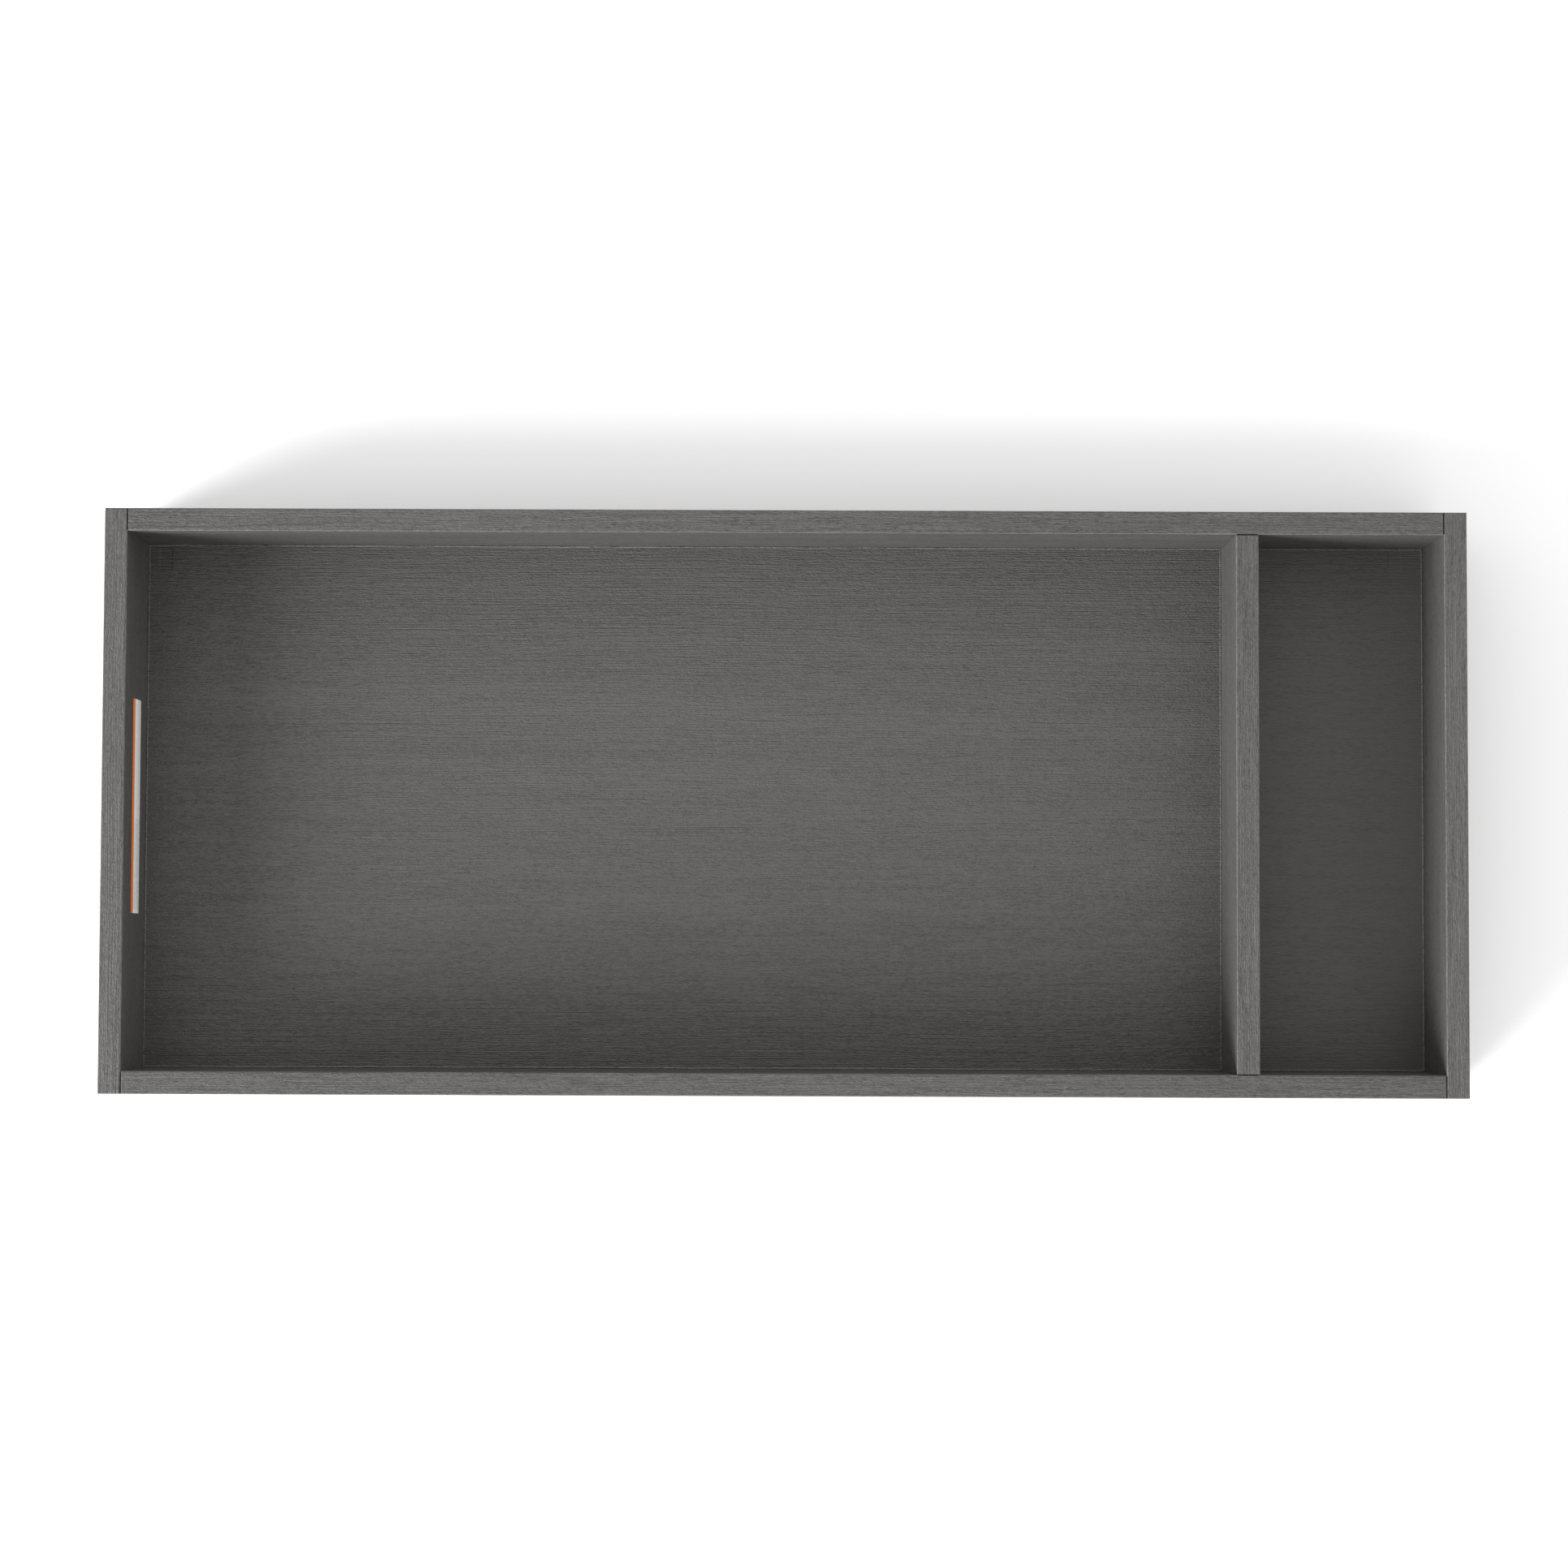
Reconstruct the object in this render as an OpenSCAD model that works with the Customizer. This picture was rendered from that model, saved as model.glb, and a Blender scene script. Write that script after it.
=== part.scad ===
// Open two-bay wooden tray. Four dowelled boards and a fixed divider stand round two base panels,
// which are dropped in from above onto screwed cleats. It rests on six anti-slip pads.
// Origin: centre of the underside. +X runs along the length towards the side bay, +Y to the back, +Z up.

/* [Tray] */
// Length over the end boards
tray_l = 1067; // [800:1:1200]
// Depth over the rails
tray_d = 458; // [380:1:560]
// Height from the pads' undersides to the boards' top edges
tray_h = 114; // [114:1:150]
// Depth of both bays, from the boards' top edges to the base
bay_h = 92; // [70:1:92]
// Clear length of the side bay
side_bay_l = 145; // [120:1:250]
// Thickness of the boards
board_t = 18; // [17:0.5:22]
// Rounding of the boards' level edges
board_r = 1.2; // [0.6:0.2:2]
// Rounding of the boards' upright edges
upright_r = 0.6; // [0.3:0.1:1]

/* [Base] */
// Thickness of the base panels
panel_t = 9; // [8:0.5:9]
// Rounding of the base panels' edges
panel_r = 0.5; // [0.25:0.25:1.5]
// Gap between a base panel and the boards round it
panel_gap = 0.1; // [0.1:0.05:0.5]
// Width of the cleats
cleat_w = 18; // [16:1:22]
// Height of the cleats
cleat_h = 10; // [9:0.5:10]
// Width of the batten across the main bay
batten_w = 60; // [40:5:100]
// Rounding of the cleats' and the batten's edges
cleat_r = 1; // [0.5:0.25:1.5]

/* [Dowels] */
// Diameter of the dowels
dowel_d = 8; // [6:1:8]
// Length of the dowels
dowel_l = 40; // [30:5:40]
// Part of a dowel that sits in the face of a board
dowel_in_face = 12; // [10:1:13]
// Dowels in each joint
dowel_count = 3; // [2:1:3]
// Distance from the lowest and the highest dowel to the boards' edges
dowel_edge = 20; // [14:1:26]

/* [Screws] */
// Diameter of the screws' shanks
screw_d = 3.5; // [3:0.5:4]
// Diameter of the screws' heads
screw_head_d = 7; // [6:0.5:7.5]
// Length of the screws that hold the cleats to the boards
cleat_screw_l = 30; // [26:1:30]
// Length of the screws that hold the panels down
panel_screw_l = 16; // [13:0.5:16]
// Greatest distance between the screws in a row
screw_pitch = 190; // [120:10:260]
// Distance from the first and last screw in a row to the ends of the row
screw_inset = 50; // [46:1:55]

/* [Pads and inserts] */
// Diameter of the anti-slip pads
pad_d = 14; // [10:1:15]
// Thickness of the anti-slip pads
pad_t = 2; // [1.5:0.5:3]
// Distance between the two threaded inserts in the back rail
insert_span = 600; // [300:10:700]
// Height of the inserts' axes above the pads' undersides
insert_z = 40; // [38:1:42]
// Outer diameter of the inserts
insert_d = 9; // [8:0.5:10]
// Length of the inserts
insert_l = 12; // [8:1:13]
// Bore of the inserts, the core diameter of their M6 thread
insert_bore = 5; // [4.5:0.1:5.2]

/* [Label] */
// Length of the contents label
label_l = 170; // [80:5:220]
// Height of the contents label
label_h = 31; // [20:1:50]
// Thickness of the contents label
label_t = 0.3; // [0.2:0.1:0.5]
// Distance from the boards' top edges to the label
label_drop = 34; // [10:1:36]
// Distance from the bay's middle to the label's middle, towards the front
label_shift = 3; // [-20:1:20]

/* [Hidden] */
$fn = 48;
board_h = tray_h - pad_t;
bay_d = tray_d - 2 * board_t;
rail_l = tray_l - 2 * board_t;
base_z = tray_h - bay_h;
panel_z = base_z - panel_t;
cleat_z = panel_z - cleat_h;
end_x = tray_l / 2 - board_t;
rail_y = bay_d / 2;
divider_x = end_x - side_bay_l - board_t;
main_bay_l = divider_x + end_x;
main_mid_x = divider_x - main_bay_l / 2;
side_mid_x = end_x - side_bay_l / 2;
// Length of the pieces that run across a bay between its long cleats
cross_l = bay_d - 2 * cleat_w;
dowel_step = (board_h - 2 * dowel_edge) / (dowel_count - 1);
// Dowel holes are this much deeper than the dowels, to hold spare glue
glue_room = 1;
dowel_ease = 1;
// The cleat screws lie halfway up the cleats, and the panel screws stand beside them
cleat_screw_z = cleat_z + cleat_h / 2;
panel_screw_offset = 20;
// Along the divider, the screws of the two bays are this far apart, so that they pass each other
divider_stagger = 30;
pad_inset = 45;
insert_flange_t = 1;
insert_flange_d = insert_d + 3;

STAIN = "#6b6a68";
PANEL_STAIN = "#605f5d";
CLEAT_STAIN = "#565553";
BEECH = "#d9bf8c";
YELLOW_ZINC = "#c9b26a";
BRIGHT_ZINC = "#a9adb2";
RUBBER = "#2b2b2d";
LABEL = "#d98a4a";

// ---- Shared shapes ----

// A rectangle with round corners, one corner of its frame at the origin
module rounded_outline(w, h, r) {
    translate([r, 0]) square([w - 2 * r, h]);
    translate([0, r]) square([w, h - 2 * r]);
    for (x = [r, w - r], y = [r, h - r])
        translate([x, y]) circle(r);
}

// A block with its level edges rounded to r and its upright ones to corner_r, on z = 0
module eased_block(size, r, corner_r) {
    translate([-size.x / 2, -size.y / 2, 0])
        intersection() {
            linear_extrude(size.z) rounded_outline(size.x, size.y, corner_r);
            translate([0, size.y, 0])
                rotate([90, 0, 0])
                    linear_extrude(size.y) rounded_outline(size.x, size.z, r);
            rotate([90, 0, 90])
                linear_extrude(size.x) rounded_outline(size.y, size.z, r);
        }
}

// A rod along +X from x = 0, with eased ends
module eased_rod(d, l, ease) {
    rotate([0, 90, 0]) {
        cylinder(h = ease, d1 = d - 2 * ease, d2 = d);
        translate([0, 0, ease]) cylinder(h = l - 2 * ease, d = d);
        translate([0, 0, l - ease]) cylinder(h = ease, d1 = d, d2 = d - 2 * ease);
    }
}

// The space of a countersunk screw along +Z, the flat of its head on z = 0
module screw_blank(l) {
    head_h = (screw_head_d - screw_d) / 2;
    tip_h = screw_d;
    cylinder(h = head_h, d1 = screw_head_d, d2 = screw_d);
    translate([0, 0, head_h]) cylinder(h = l - head_h - tip_h, d = screw_d);
    translate([0, 0, l - tip_h]) cylinder(h = tip_h, d1 = screw_d, d2 = screw_d / 4);
}

// The screw itself, with a cross recess in its head, or only the hole that it fills
module screw(l, hole) {
    recess_l = screw_head_d * 0.6;
    recess_w = screw_head_d / 7;
    recess_h = screw_d / 3;
    difference() {
        screw_blank(l);
        if (!hole)
            for (a = [0, 90])
                rotate([0, 0, a])
                    translate([-recess_l / 2, -recess_w / 2, -recess_h])
                        cube([recess_l, recess_w, 2 * recess_h]);
    }
}

// Evenly spaced places over a length, centred on 0, with the row's ends kept clear
function places(l) =
    let (span = l - 2 * screw_inset, n = max(1, ceil(span / screw_pitch)))
    [for (i = [0 : n]) -span / 2 + i * span / n];

// ---- Joints ----

// The dowels of a joint at the origin, or their holes; +X points into the end grain
module dowel_set(hole) {
    for (i = [0 : dowel_count - 1])
        translate([-dowel_in_face, 0, pad_t + dowel_edge + i * dowel_step])
            if (hole)
                translate([-glue_room, 0, 0])
                    rotate([0, 90, 0]) cylinder(h = dowel_l + 2 * glue_room, d = dowel_d);
            else
                eased_rod(dowel_d, dowel_l, dowel_ease);
}

// The dowels where the rail on side sy (-1 front, 1 back) meets the end board on side sx (-1 left)
module corner_dowels(sx, sy, hole = false) {
    color(BEECH)
        translate([sx * end_x, sy * (tray_d - board_t) / 2, 0])
            rotate([0, 0, sx > 0 ? 180 : 0]) dowel_set(hole);
}

// The dowels where the divider meets the rail on side sy
module divider_dowels(sy, hole = false) {
    color(BEECH)
        translate([divider_x + board_t / 2, sy * rail_y, 0])
            rotate([0, 0, -sy * 90]) dowel_set(hole);
}

// A row of cleat screws from (x, y), pointing at the angle a into the board behind the cleat
module cleat_screw_row(x, y, a, l, shift, hole) {
    translate([x, y, cleat_screw_z])
        rotate([0, 0, a])
            for (p = places(l))
                translate([0, p + shift, 0])
                    rotate([0, 90, 0]) screw(cleat_screw_l, hole);
}

// The cleat screws of one bay; the shifts move the rows on its left and right sides
module bay_cleat_screws(mid_x, l, left_shift, right_shift, hole) {
    for (sy = [-1, 1])
        cleat_screw_row(mid_x, sy * cross_l / 2, sy * 90, l, 0, hole);
    cleat_screw_row(mid_x - l / 2 + cleat_w, 0, 180, cross_l, left_shift, hole);
    cleat_screw_row(mid_x + l / 2 - cleat_w, 0, 0, cross_l, right_shift, hole);
}

// Every cleat screw, or every hole for one
module cleat_fixings(hole = true) {
    bay_cleat_screws(main_mid_x, main_bay_l, 0, divider_stagger / 2, hole);
    bay_cleat_screws(side_mid_x, side_bay_l, divider_stagger / 2, 0, hole);
}

// The screws that pull one panel down onto its long cleats, or their holes
module panel_fixings(mid_x, l, hole = true) {
    for (sy = [-1, 1], p = places(l))
        translate([mid_x + p + panel_screw_offset, sy * (rail_y - cleat_w / 2), cleat_z])
            screw(panel_screw_l, hole);
}

// The screws that join the batten to the main panel, or their holes
module batten_fixings(hole = true) {
    for (sx = [-1, 1], p = places(cross_l))
        translate([main_mid_x + sx * batten_w / 4, p, cleat_z])
            screw(panel_screw_l, hole);
}

// Two inserts flush in the back rail's outer face, axis along Y
module insert_places() {
    for (sx = [-1, 1])
        translate([sx * insert_span / 2, tray_d / 2, insert_z])
            rotate([90, 0, 0]) children();
}

module insert_body() {
    cylinder(h = insert_flange_t, d = insert_flange_d);
    cylinder(h = insert_l, d = insert_d);
}

// ---- Boards ----

// An end board on side sx
module end_board(sx) {
    color(STAIN)
        difference() {
            translate([sx * (end_x + board_t / 2), 0, pad_t])
                eased_block([board_t, tray_d, board_h], board_r, upright_r);
            for (sy = [-1, 1]) corner_dowels(sx, sy, true);
            cleat_fixings();
        }
}

// A rail on side sy; the back one also holds the inserts
module rail(sy) {
    color(STAIN)
        difference() {
            translate([0, sy * (rail_y + board_t / 2), pad_t])
                eased_block([rail_l, board_t, board_h], board_r, upright_r);
            for (sx = [-1, 1]) corner_dowels(sx, sy, true);
            divider_dowels(sy, true);
            cleat_fixings();
            if (sy > 0) insert_places() insert_body();
        }
}

module divider_board() {
    color(STAIN)
        difference() {
            translate([divider_x + board_t / 2, 0, pad_t])
                eased_block([board_t, bay_d, board_h], board_r, upright_r);
            for (sy = [-1, 1]) divider_dowels(sy, true);
            cleat_fixings();
        }
}

// ---- Base ----

module base_panel(mid_x, l) {
    color(PANEL_STAIN)
        difference() {
            translate([mid_x, 0, panel_z])
                eased_block([l - 2 * panel_gap, bay_d - 2 * panel_gap, panel_t], panel_r, panel_r);
            panel_fixings(mid_x, l);
            batten_fixings();
        }
}

// A cleat along X under the panel's edge on side sy
module long_cleat(mid_x, l, sy) {
    color(CLEAT_STAIN)
        difference() {
            translate([mid_x, sy * (rail_y - cleat_w / 2), cleat_z])
                eased_block([l, cleat_w, cleat_h], cleat_r, cleat_r);
            cleat_fixings();
            panel_fixings(mid_x, l);
        }
}

// A cleat along Y between the long cleats, on side sx of its bay
module cross_cleat(mid_x, l, sx) {
    color(CLEAT_STAIN)
        difference() {
            translate([mid_x + sx * (l - cleat_w) / 2, 0, cleat_z])
                eased_block([cleat_w, cross_l, cleat_h], cleat_r, cleat_r);
            cleat_fixings();
        }
}

module cross_batten() {
    color(CLEAT_STAIN)
        difference() {
            translate([main_mid_x, 0, cleat_z])
                eased_block([batten_w, cross_l, cleat_h], cleat_r, cleat_r);
            batten_fixings();
        }
}

// ---- Hardware ----

module cleat_screws() {
    color(YELLOW_ZINC) cleat_fixings(false);
}

module panel_screws(mid_x, l) {
    color(YELLOW_ZINC) panel_fixings(mid_x, l, false);
}

module batten_screws() {
    color(YELLOW_ZINC) batten_fixings(false);
}

module threaded_inserts() {
    color(BRIGHT_ZINC)
        insert_places()
            difference() {
                insert_body();
                translate([0, 0, -insert_l / 2]) cylinder(h = 2 * insert_l, d = insert_bore);
            }
}

// A round pad under a board, at one of its corners or midway along a rail
module pad(sx, sy) {
    y = sx == 0 ? sy * (rail_y + board_t / 2) : sy * (tray_d / 2 - pad_inset);
    color(RUBBER)
        translate([sx * (end_x + board_t / 2), y, 0])
            cylinder(h = pad_t, d = pad_d);
}

module contents_label() {
    color(LABEL)
        translate([-end_x, -label_l / 2 - label_shift, tray_h - label_drop - label_h])
            cube([label_t, label_l, label_h]);
}

end_board(-1);  // left_end_board
end_board(1);  // right_end_board
rail(-1);  // front_rail
rail(1);  // back_rail
divider_board();
base_panel(main_mid_x, main_bay_l);  // main_base_panel
base_panel(side_mid_x, side_bay_l);  // side_base_panel
long_cleat(main_mid_x, main_bay_l, -1);  // main_front_cleat
long_cleat(main_mid_x, main_bay_l, 1);  // main_back_cleat
cross_cleat(main_mid_x, main_bay_l, -1);  // main_left_cleat
cross_cleat(main_mid_x, main_bay_l, 1);  // main_right_cleat
long_cleat(side_mid_x, side_bay_l, -1);  // side_front_cleat
long_cleat(side_mid_x, side_bay_l, 1);  // side_back_cleat
cross_cleat(side_mid_x, side_bay_l, -1);  // side_left_cleat
cross_cleat(side_mid_x, side_bay_l, 1);  // side_right_cleat
cross_batten();
corner_dowels(-1, -1);  // front_left_dowels
corner_dowels(-1, 1);  // back_left_dowels
corner_dowels(1, -1);  // front_right_dowels
corner_dowels(1, 1);  // back_right_dowels
divider_dowels(-1);  // divider_front_dowels
divider_dowels(1);  // divider_back_dowels
cleat_screws();
panel_screws(main_mid_x, main_bay_l);  // main_panel_screws
panel_screws(side_mid_x, side_bay_l);  // side_panel_screws
batten_screws();
threaded_inserts();
pad(-1, -1);  // front_left_pad
pad(0, -1);  // front_middle_pad
pad(1, -1);  // front_right_pad
pad(-1, 1);  // back_left_pad
pad(0, 1);  // back_middle_pad
pad(1, 1);  // back_right_pad
contents_label();
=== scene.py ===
"""Looks of a two-bay tray in charcoal-stained oak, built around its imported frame.

Lengths are in metres in the frame's own axes: X along the tray towards its side bay,
Y towards its back and Z up. Patterns are worked out in millimetres.
"""

import logging
import math
from dataclasses import dataclass
from enum import Enum
from typing import Any, Iterable, Optional, Sequence, Union

import bmesh
import bpy
from mathutils import Euler, Matrix, Vector


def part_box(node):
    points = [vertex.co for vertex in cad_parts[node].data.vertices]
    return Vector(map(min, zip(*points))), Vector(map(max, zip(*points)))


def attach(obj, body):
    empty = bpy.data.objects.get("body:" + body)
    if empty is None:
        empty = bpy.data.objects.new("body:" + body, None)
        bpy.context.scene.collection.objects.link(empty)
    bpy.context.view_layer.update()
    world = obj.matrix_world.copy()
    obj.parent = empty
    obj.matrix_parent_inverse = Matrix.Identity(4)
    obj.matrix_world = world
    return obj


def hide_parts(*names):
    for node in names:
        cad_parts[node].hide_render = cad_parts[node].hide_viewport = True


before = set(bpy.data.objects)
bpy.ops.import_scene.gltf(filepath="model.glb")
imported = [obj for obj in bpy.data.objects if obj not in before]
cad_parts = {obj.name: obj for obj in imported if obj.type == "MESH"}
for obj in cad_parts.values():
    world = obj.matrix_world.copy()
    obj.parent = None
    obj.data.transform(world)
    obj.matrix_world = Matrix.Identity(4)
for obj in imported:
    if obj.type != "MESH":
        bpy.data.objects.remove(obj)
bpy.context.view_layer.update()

LOG = logging.getLogger("tray")
MM = 0.001
BODY = "root"
CREASE = 35.0  # degrees past which an edge is sharp

Colour = tuple[float, float, float]
Triple = tuple[float, float, float]
Value = Union["Field", float, int]


def paint(red: float, green: float, blue: float) -> Colour:
    """Turn a colour given in levels of 0 to 255 into the linear one that shaders take.

    Args:
        red: Level of red.
        green: Level of green.
        blue: Level of blue.

    Returns:
        The linear colour.
    """
    levels = [level / 255 for level in (red, green, blue)]
    linear = [v / 12.92 if v <= 0.04045 else ((v + 0.055) / 1.055) ** 2.4 for v in levels]
    return (linear[0], linear[1], linear[2])


def tinted(colour: Colour, share: float) -> Colour:
    """Scale a colour's three parts by one share."""
    return (colour[0] * share, colour[1] * share, colour[2] * share)


# --------------------------------------------------------------------- shader maths


class Field:
    """A value that varies over a surface, with operators that add maths nodes."""

    def __init__(self, graph: "Graph", socket: bpy.types.NodeSocket) -> None:
        """Wrap one output socket of a graph's node."""
        self.graph = graph
        self.socket = socket

    def __add__(self, other: Value) -> "Field":
        """Add a value."""
        return self.graph.maths("ADD", self, other)

    __radd__ = __add__

    def __sub__(self, other: Value) -> "Field":
        """Subtract a value."""
        return self.graph.maths("SUBTRACT", self, other)

    def __rsub__(self, other: Value) -> "Field":
        """Subtract this from a value."""
        return self.graph.maths("SUBTRACT", other, self)

    def __mul__(self, other: Value) -> "Field":
        """Multiply by a value."""
        return self.graph.maths("MULTIPLY", self, other)

    __rmul__ = __mul__

    def __abs__(self) -> "Field":
        """Drop the sign."""
        return self.graph.maths("ABSOLUTE", self)

    def largest(self, other: Value) -> "Field":
        """Take the larger of this and a value."""
        return self.graph.maths("MAXIMUM", self, other)

    def step(self, low: float, high: float) -> "Field":
        """Rise smoothly from 0 to 1 between two levels.

        Args:
            low: Level at which the result is 0.
            high: Level at which it is 1. It may be below low, for a fall.

        Returns:
            The eased mask.
        """
        sockets = {0: self, 1: low, 2: high, 3: 0.0, 4: 1.0}
        return self.graph.field("ShaderNodeMapRange", {"interpolation_type": "SMOOTHSTEP"}, sockets)


class Graph:
    """The node tree of one material, written as Python expressions."""

    def __init__(self, name: str) -> None:
        """Start an empty material of that name."""
        self.material = bpy.data.materials.new(name)
        self.material.use_nodes = True
        self.tree = self.material.node_tree
        self.tree.nodes.clear()

    def node(
        self,
        kind: str,
        settings: Optional[dict[str, Any]] = None,
        sockets: Optional[dict[Union[int, str], Any]] = None,
    ) -> bpy.types.Node:
        """Add a node.

        Args:
            kind: The node's type.
            settings: Its settings, which are set first.
            sockets: Values or links of its inputs, by name or number.

        Returns:
            The new node.
        """
        made = self.tree.nodes.new(kind)
        for key, value in (settings or {}).items():
            setattr(made, key, value)
        for key, value in (sockets or {}).items():
            socket = made.inputs[key]
            if isinstance(value, Field):
                self.tree.links.new(value.socket, socket)
            elif socket.type == "RGBA":
                socket.default_value = (*value, 1.0)
            else:
                socket.default_value = value
        return made

    def field(
        self,
        kind: str,
        settings: Optional[dict[str, Any]] = None,
        sockets: Optional[dict[Union[int, str], Any]] = None,
        output: Union[int, str] = 0,
    ) -> Field:
        """Add a node as node() does, and give one of its outputs."""
        return Field(self, self.node(kind, settings, sockets).outputs[output])

    def maths(self, operation: str, *values: Value) -> Field:
        """Add a Math node over one or two values."""
        return self.field("ShaderNodeMath", {"operation": operation}, dict(enumerate(values)))

    def vector(self, operation: str, *values: Union[Field, Triple]) -> Field:
        """Add a Vector Math node over one or two vectors."""
        return self.field("ShaderNodeVectorMath", {"operation": operation}, dict(enumerate(values)))

    def mix(self, factor: Value, first: Union[Field, Colour], second: Union[Field, Colour]) -> Field:
        """Mix two colours.

        Args:
            factor: Share of the second colour.
            first: Colour where the factor is 0.
            second: Colour where it is 1.

        Returns:
            The mixed colour.
        """
        return self.field("ShaderNodeMix", {"data_type": "RGBA"}, {0: factor, 6: first, 7: second}, 2)

    def place(self) -> Field:
        """Give the point of the surface, in millimetres in the frame's axes."""
        point = self.field("ShaderNodeTexCoord", output="Object")
        return self.vector("MULTIPLY", point, (1 / MM, 1 / MM, 1 / MM))

    def parts(self, vector: Field) -> tuple[Field, Field, Field]:
        """Split a vector into its three parts."""
        outputs = self.node("ShaderNodeSeparateXYZ", sockets={0: vector}).outputs
        return Field(self, outputs[0]), Field(self, outputs[1]), Field(self, outputs[2])

    def joined(self, x: Value, y: Value, z: Value) -> Field:
        """Join three values into a vector."""
        return self.field("ShaderNodeCombineXYZ", sockets={0: x, 1: y, 2: z})

    def cells(self, point: Field, size: Triple, detail: float = 2.0, seed: float = 0.0) -> Field:
        """Give noise from -0.5 to 0.5 whose cells have the given size.

        Args:
            point: Where the noise is read, in millimetres.
            size: A cell's size along each axis of the point, in millimetres.
            detail: Octaves of finer noise.
            seed: Shift that makes one pattern unlike the next.

        Returns:
            The noise.
        """
        scales = (1 / size[0], 1 / size[1], 1 / size[2])
        read = self.field(
            "ShaderNodeVectorMath",
            {"operation": "MULTIPLY_ADD"},
            {0: point, 1: scales, 2: (seed, 1.7 * seed, 2.3 * seed)},
        )
        sockets = {"Vector": read, "Scale": 1.0, "Detail": detail, "Roughness": 0.55}
        return self.field("ShaderNodeTexNoise", sockets=sockets) - 0.5

    def within(self, value: Field, low: float, high: float, blur: float) -> Field:
        """Give 1 where a value lies between two limits, with blurred ends."""
        return value.step(low - blur, low + blur) * value.step(high + blur, high - blur)

    def arris(self) -> Field:
        """Give 0 on flat faces and up to 0.42 where an edge is rounded over."""
        x, y, z = self.parts(self.field("ShaderNodeNewGeometry", output="Normal"))
        return 1 - abs(x).largest(abs(y)).largest(abs(z))

    def bump(self, height: Field, depth: float) -> Field:
        """Give a normal that follows a relief.

        Args:
            height: The relief, where 1 is the given depth.
            depth: Depth in millimetres.

        Returns:
            The normal.
        """
        return self.field("ShaderNodeBump", sockets={"Height": height, "Distance": depth * MM})

    def finish(self, **sockets: Any) -> bpy.types.Material:
        """End the graph in one Principled shader.

        Args:
            **sockets: The shader's inputs by name, with _ for a space.

        Returns:
            The material.
        """
        named = {key.replace("_", " "): value for key, value in sockets.items()}
        shader = self.field("ShaderNodeBsdfPrincipled", sockets=named)
        self.node("ShaderNodeOutputMaterial", sockets={"Surface": shader})
        return self.material


# ------------------------------------------------------------------------- finishes


class Grain(Enum):
    """The way that a board's grain runs."""

    ALONG = "along the tray's length"
    ACROSS = "along the tray's depth"


@dataclass(frozen=True)
class Lines:
    """One kind of line or fleck in the wood.

    Attributes:
        along: A line's length along the grain, in millimetres.
        across: Its width across the grain.
        shift: Shift that makes this kind unlike the others.
        octaves: Octaves of finer detail.
        share: Its share of the figure or the relief that it is part of.
    """

    along: float
    across: float
    shift: float
    octaves: float = 0.0
    share: float = 1.0

    def draw(self, graph: Graph, wood: Field, seed: float) -> Field:
        """Give the lines of one piece of wood as values from -0.5 to 0.5, times their share."""
        size = (self.along, self.across, self.across)
        lines = graph.cells(wood, size, self.octaves, seed + self.shift)
        return lines if self.share == 1.0 else lines * self.share


DRIFT = Lines(260.0, 90.0, shift=3.0, octaves=1.0, share=9.0)  # millimetres off straight
RIPPLE = Lines(26.0, 8.0, shift=5.0, octaves=1.0, share=0.6)
BANDS = Lines(900.0, 30.0, shift=7.0, octaves=2.0)
STREAKS = Lines(120.0, 3.2, shift=11.0, octaves=2.0, share=0.22)
THREADS = Lines(80.0, 0.58, shift=13.0, share=0.95)
DASHES = Lines(4.8, 0.56, shift=14.0, share=0.70)
SPECKS = Lines(1.8, 0.60, shift=18.0, share=0.85)
PORES = Lines(5.5, 0.50, shift=17.0)
CROWDS = Lines(60.0, 5.0, shift=15.0, octaves=1.0, share=0.40)
CHIPS = Lines(7.0, 1.6, shift=19.0, octaves=2.0, share=0.16)
RIDGES = Lines(85.0, 0.80, shift=21.0)
FURROWS = Lines(6.0, 0.78, shift=22.0, share=0.5)
GRIT = Lines(1.8, 0.75, shift=24.0, share=0.7)

PORE_EDGE = (0.10, 0.22)  # noise levels at which a pore begins and is full
PORE_DARK = 0.45  # how much a pore darkens the figure
PORE_DEPTH = 0.3  # its share of the relief
PORE_MATT = 0.16  # what a pore adds to the roughness
DASH_MATT = 0.143  # what the dashes add to it
MIDDLE_TONE = 0.05  # makes up for the pores' darkness
DEEP_TINT = (0.50, 0.505, 0.515)  # shares of the stain's colour in the darkest lines
PALE_TINT = (1.50, 1.495, 1.485)  # the same in the palest
WORN_AND_HIGHLIT_SHARE = 2.4  # share of the stain's colour on worn edges, with a painted highlight on them
LIP_HIGHLIGHT_SHARE = 2.6  # the same on a panel's lip, a painted highlight of its eased edge
SEAM_SHADE_AND_STAIN_SHARE = 0.10  # the same in the seams: painted shade of a joint's crevice, and stain collected there
EDGE_WEAR_AND_HIGHLIGHT = 0.50  # how far a worn edge with its painted highlight goes towards its colour
WORN_AND_HIGHLIT_EDGE = (0.05, 0.26)  # how rounded a surface is where the worn edge with its painted highlight begins and is full
BEAD_EDGE = (-0.16, 0.10)  # noise levels between which a bead of a lip's line ends
BLUR = 0.25  # soft edge of seams, lips and marks, in millimetres


@dataclass(frozen=True)
class FaintLine:
    """A faint line across the grain of a base panel.

    Attributes:
        x: Its place along the tray, in millimetres.
        low: Its near end, in millimetres.
        high: Its far end, in millimetres.
        tone: How much lighter than the wood it is, or darker where below 0.
        half_width: Half its width.
        fade: Length over which its ends fade.
        strength: How far it hides the figure.
    """

    x: float
    low: float
    high: float
    tone: float
    half_width: float = 0.5
    fade: float = 1.5
    strength: float = 0.8


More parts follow.
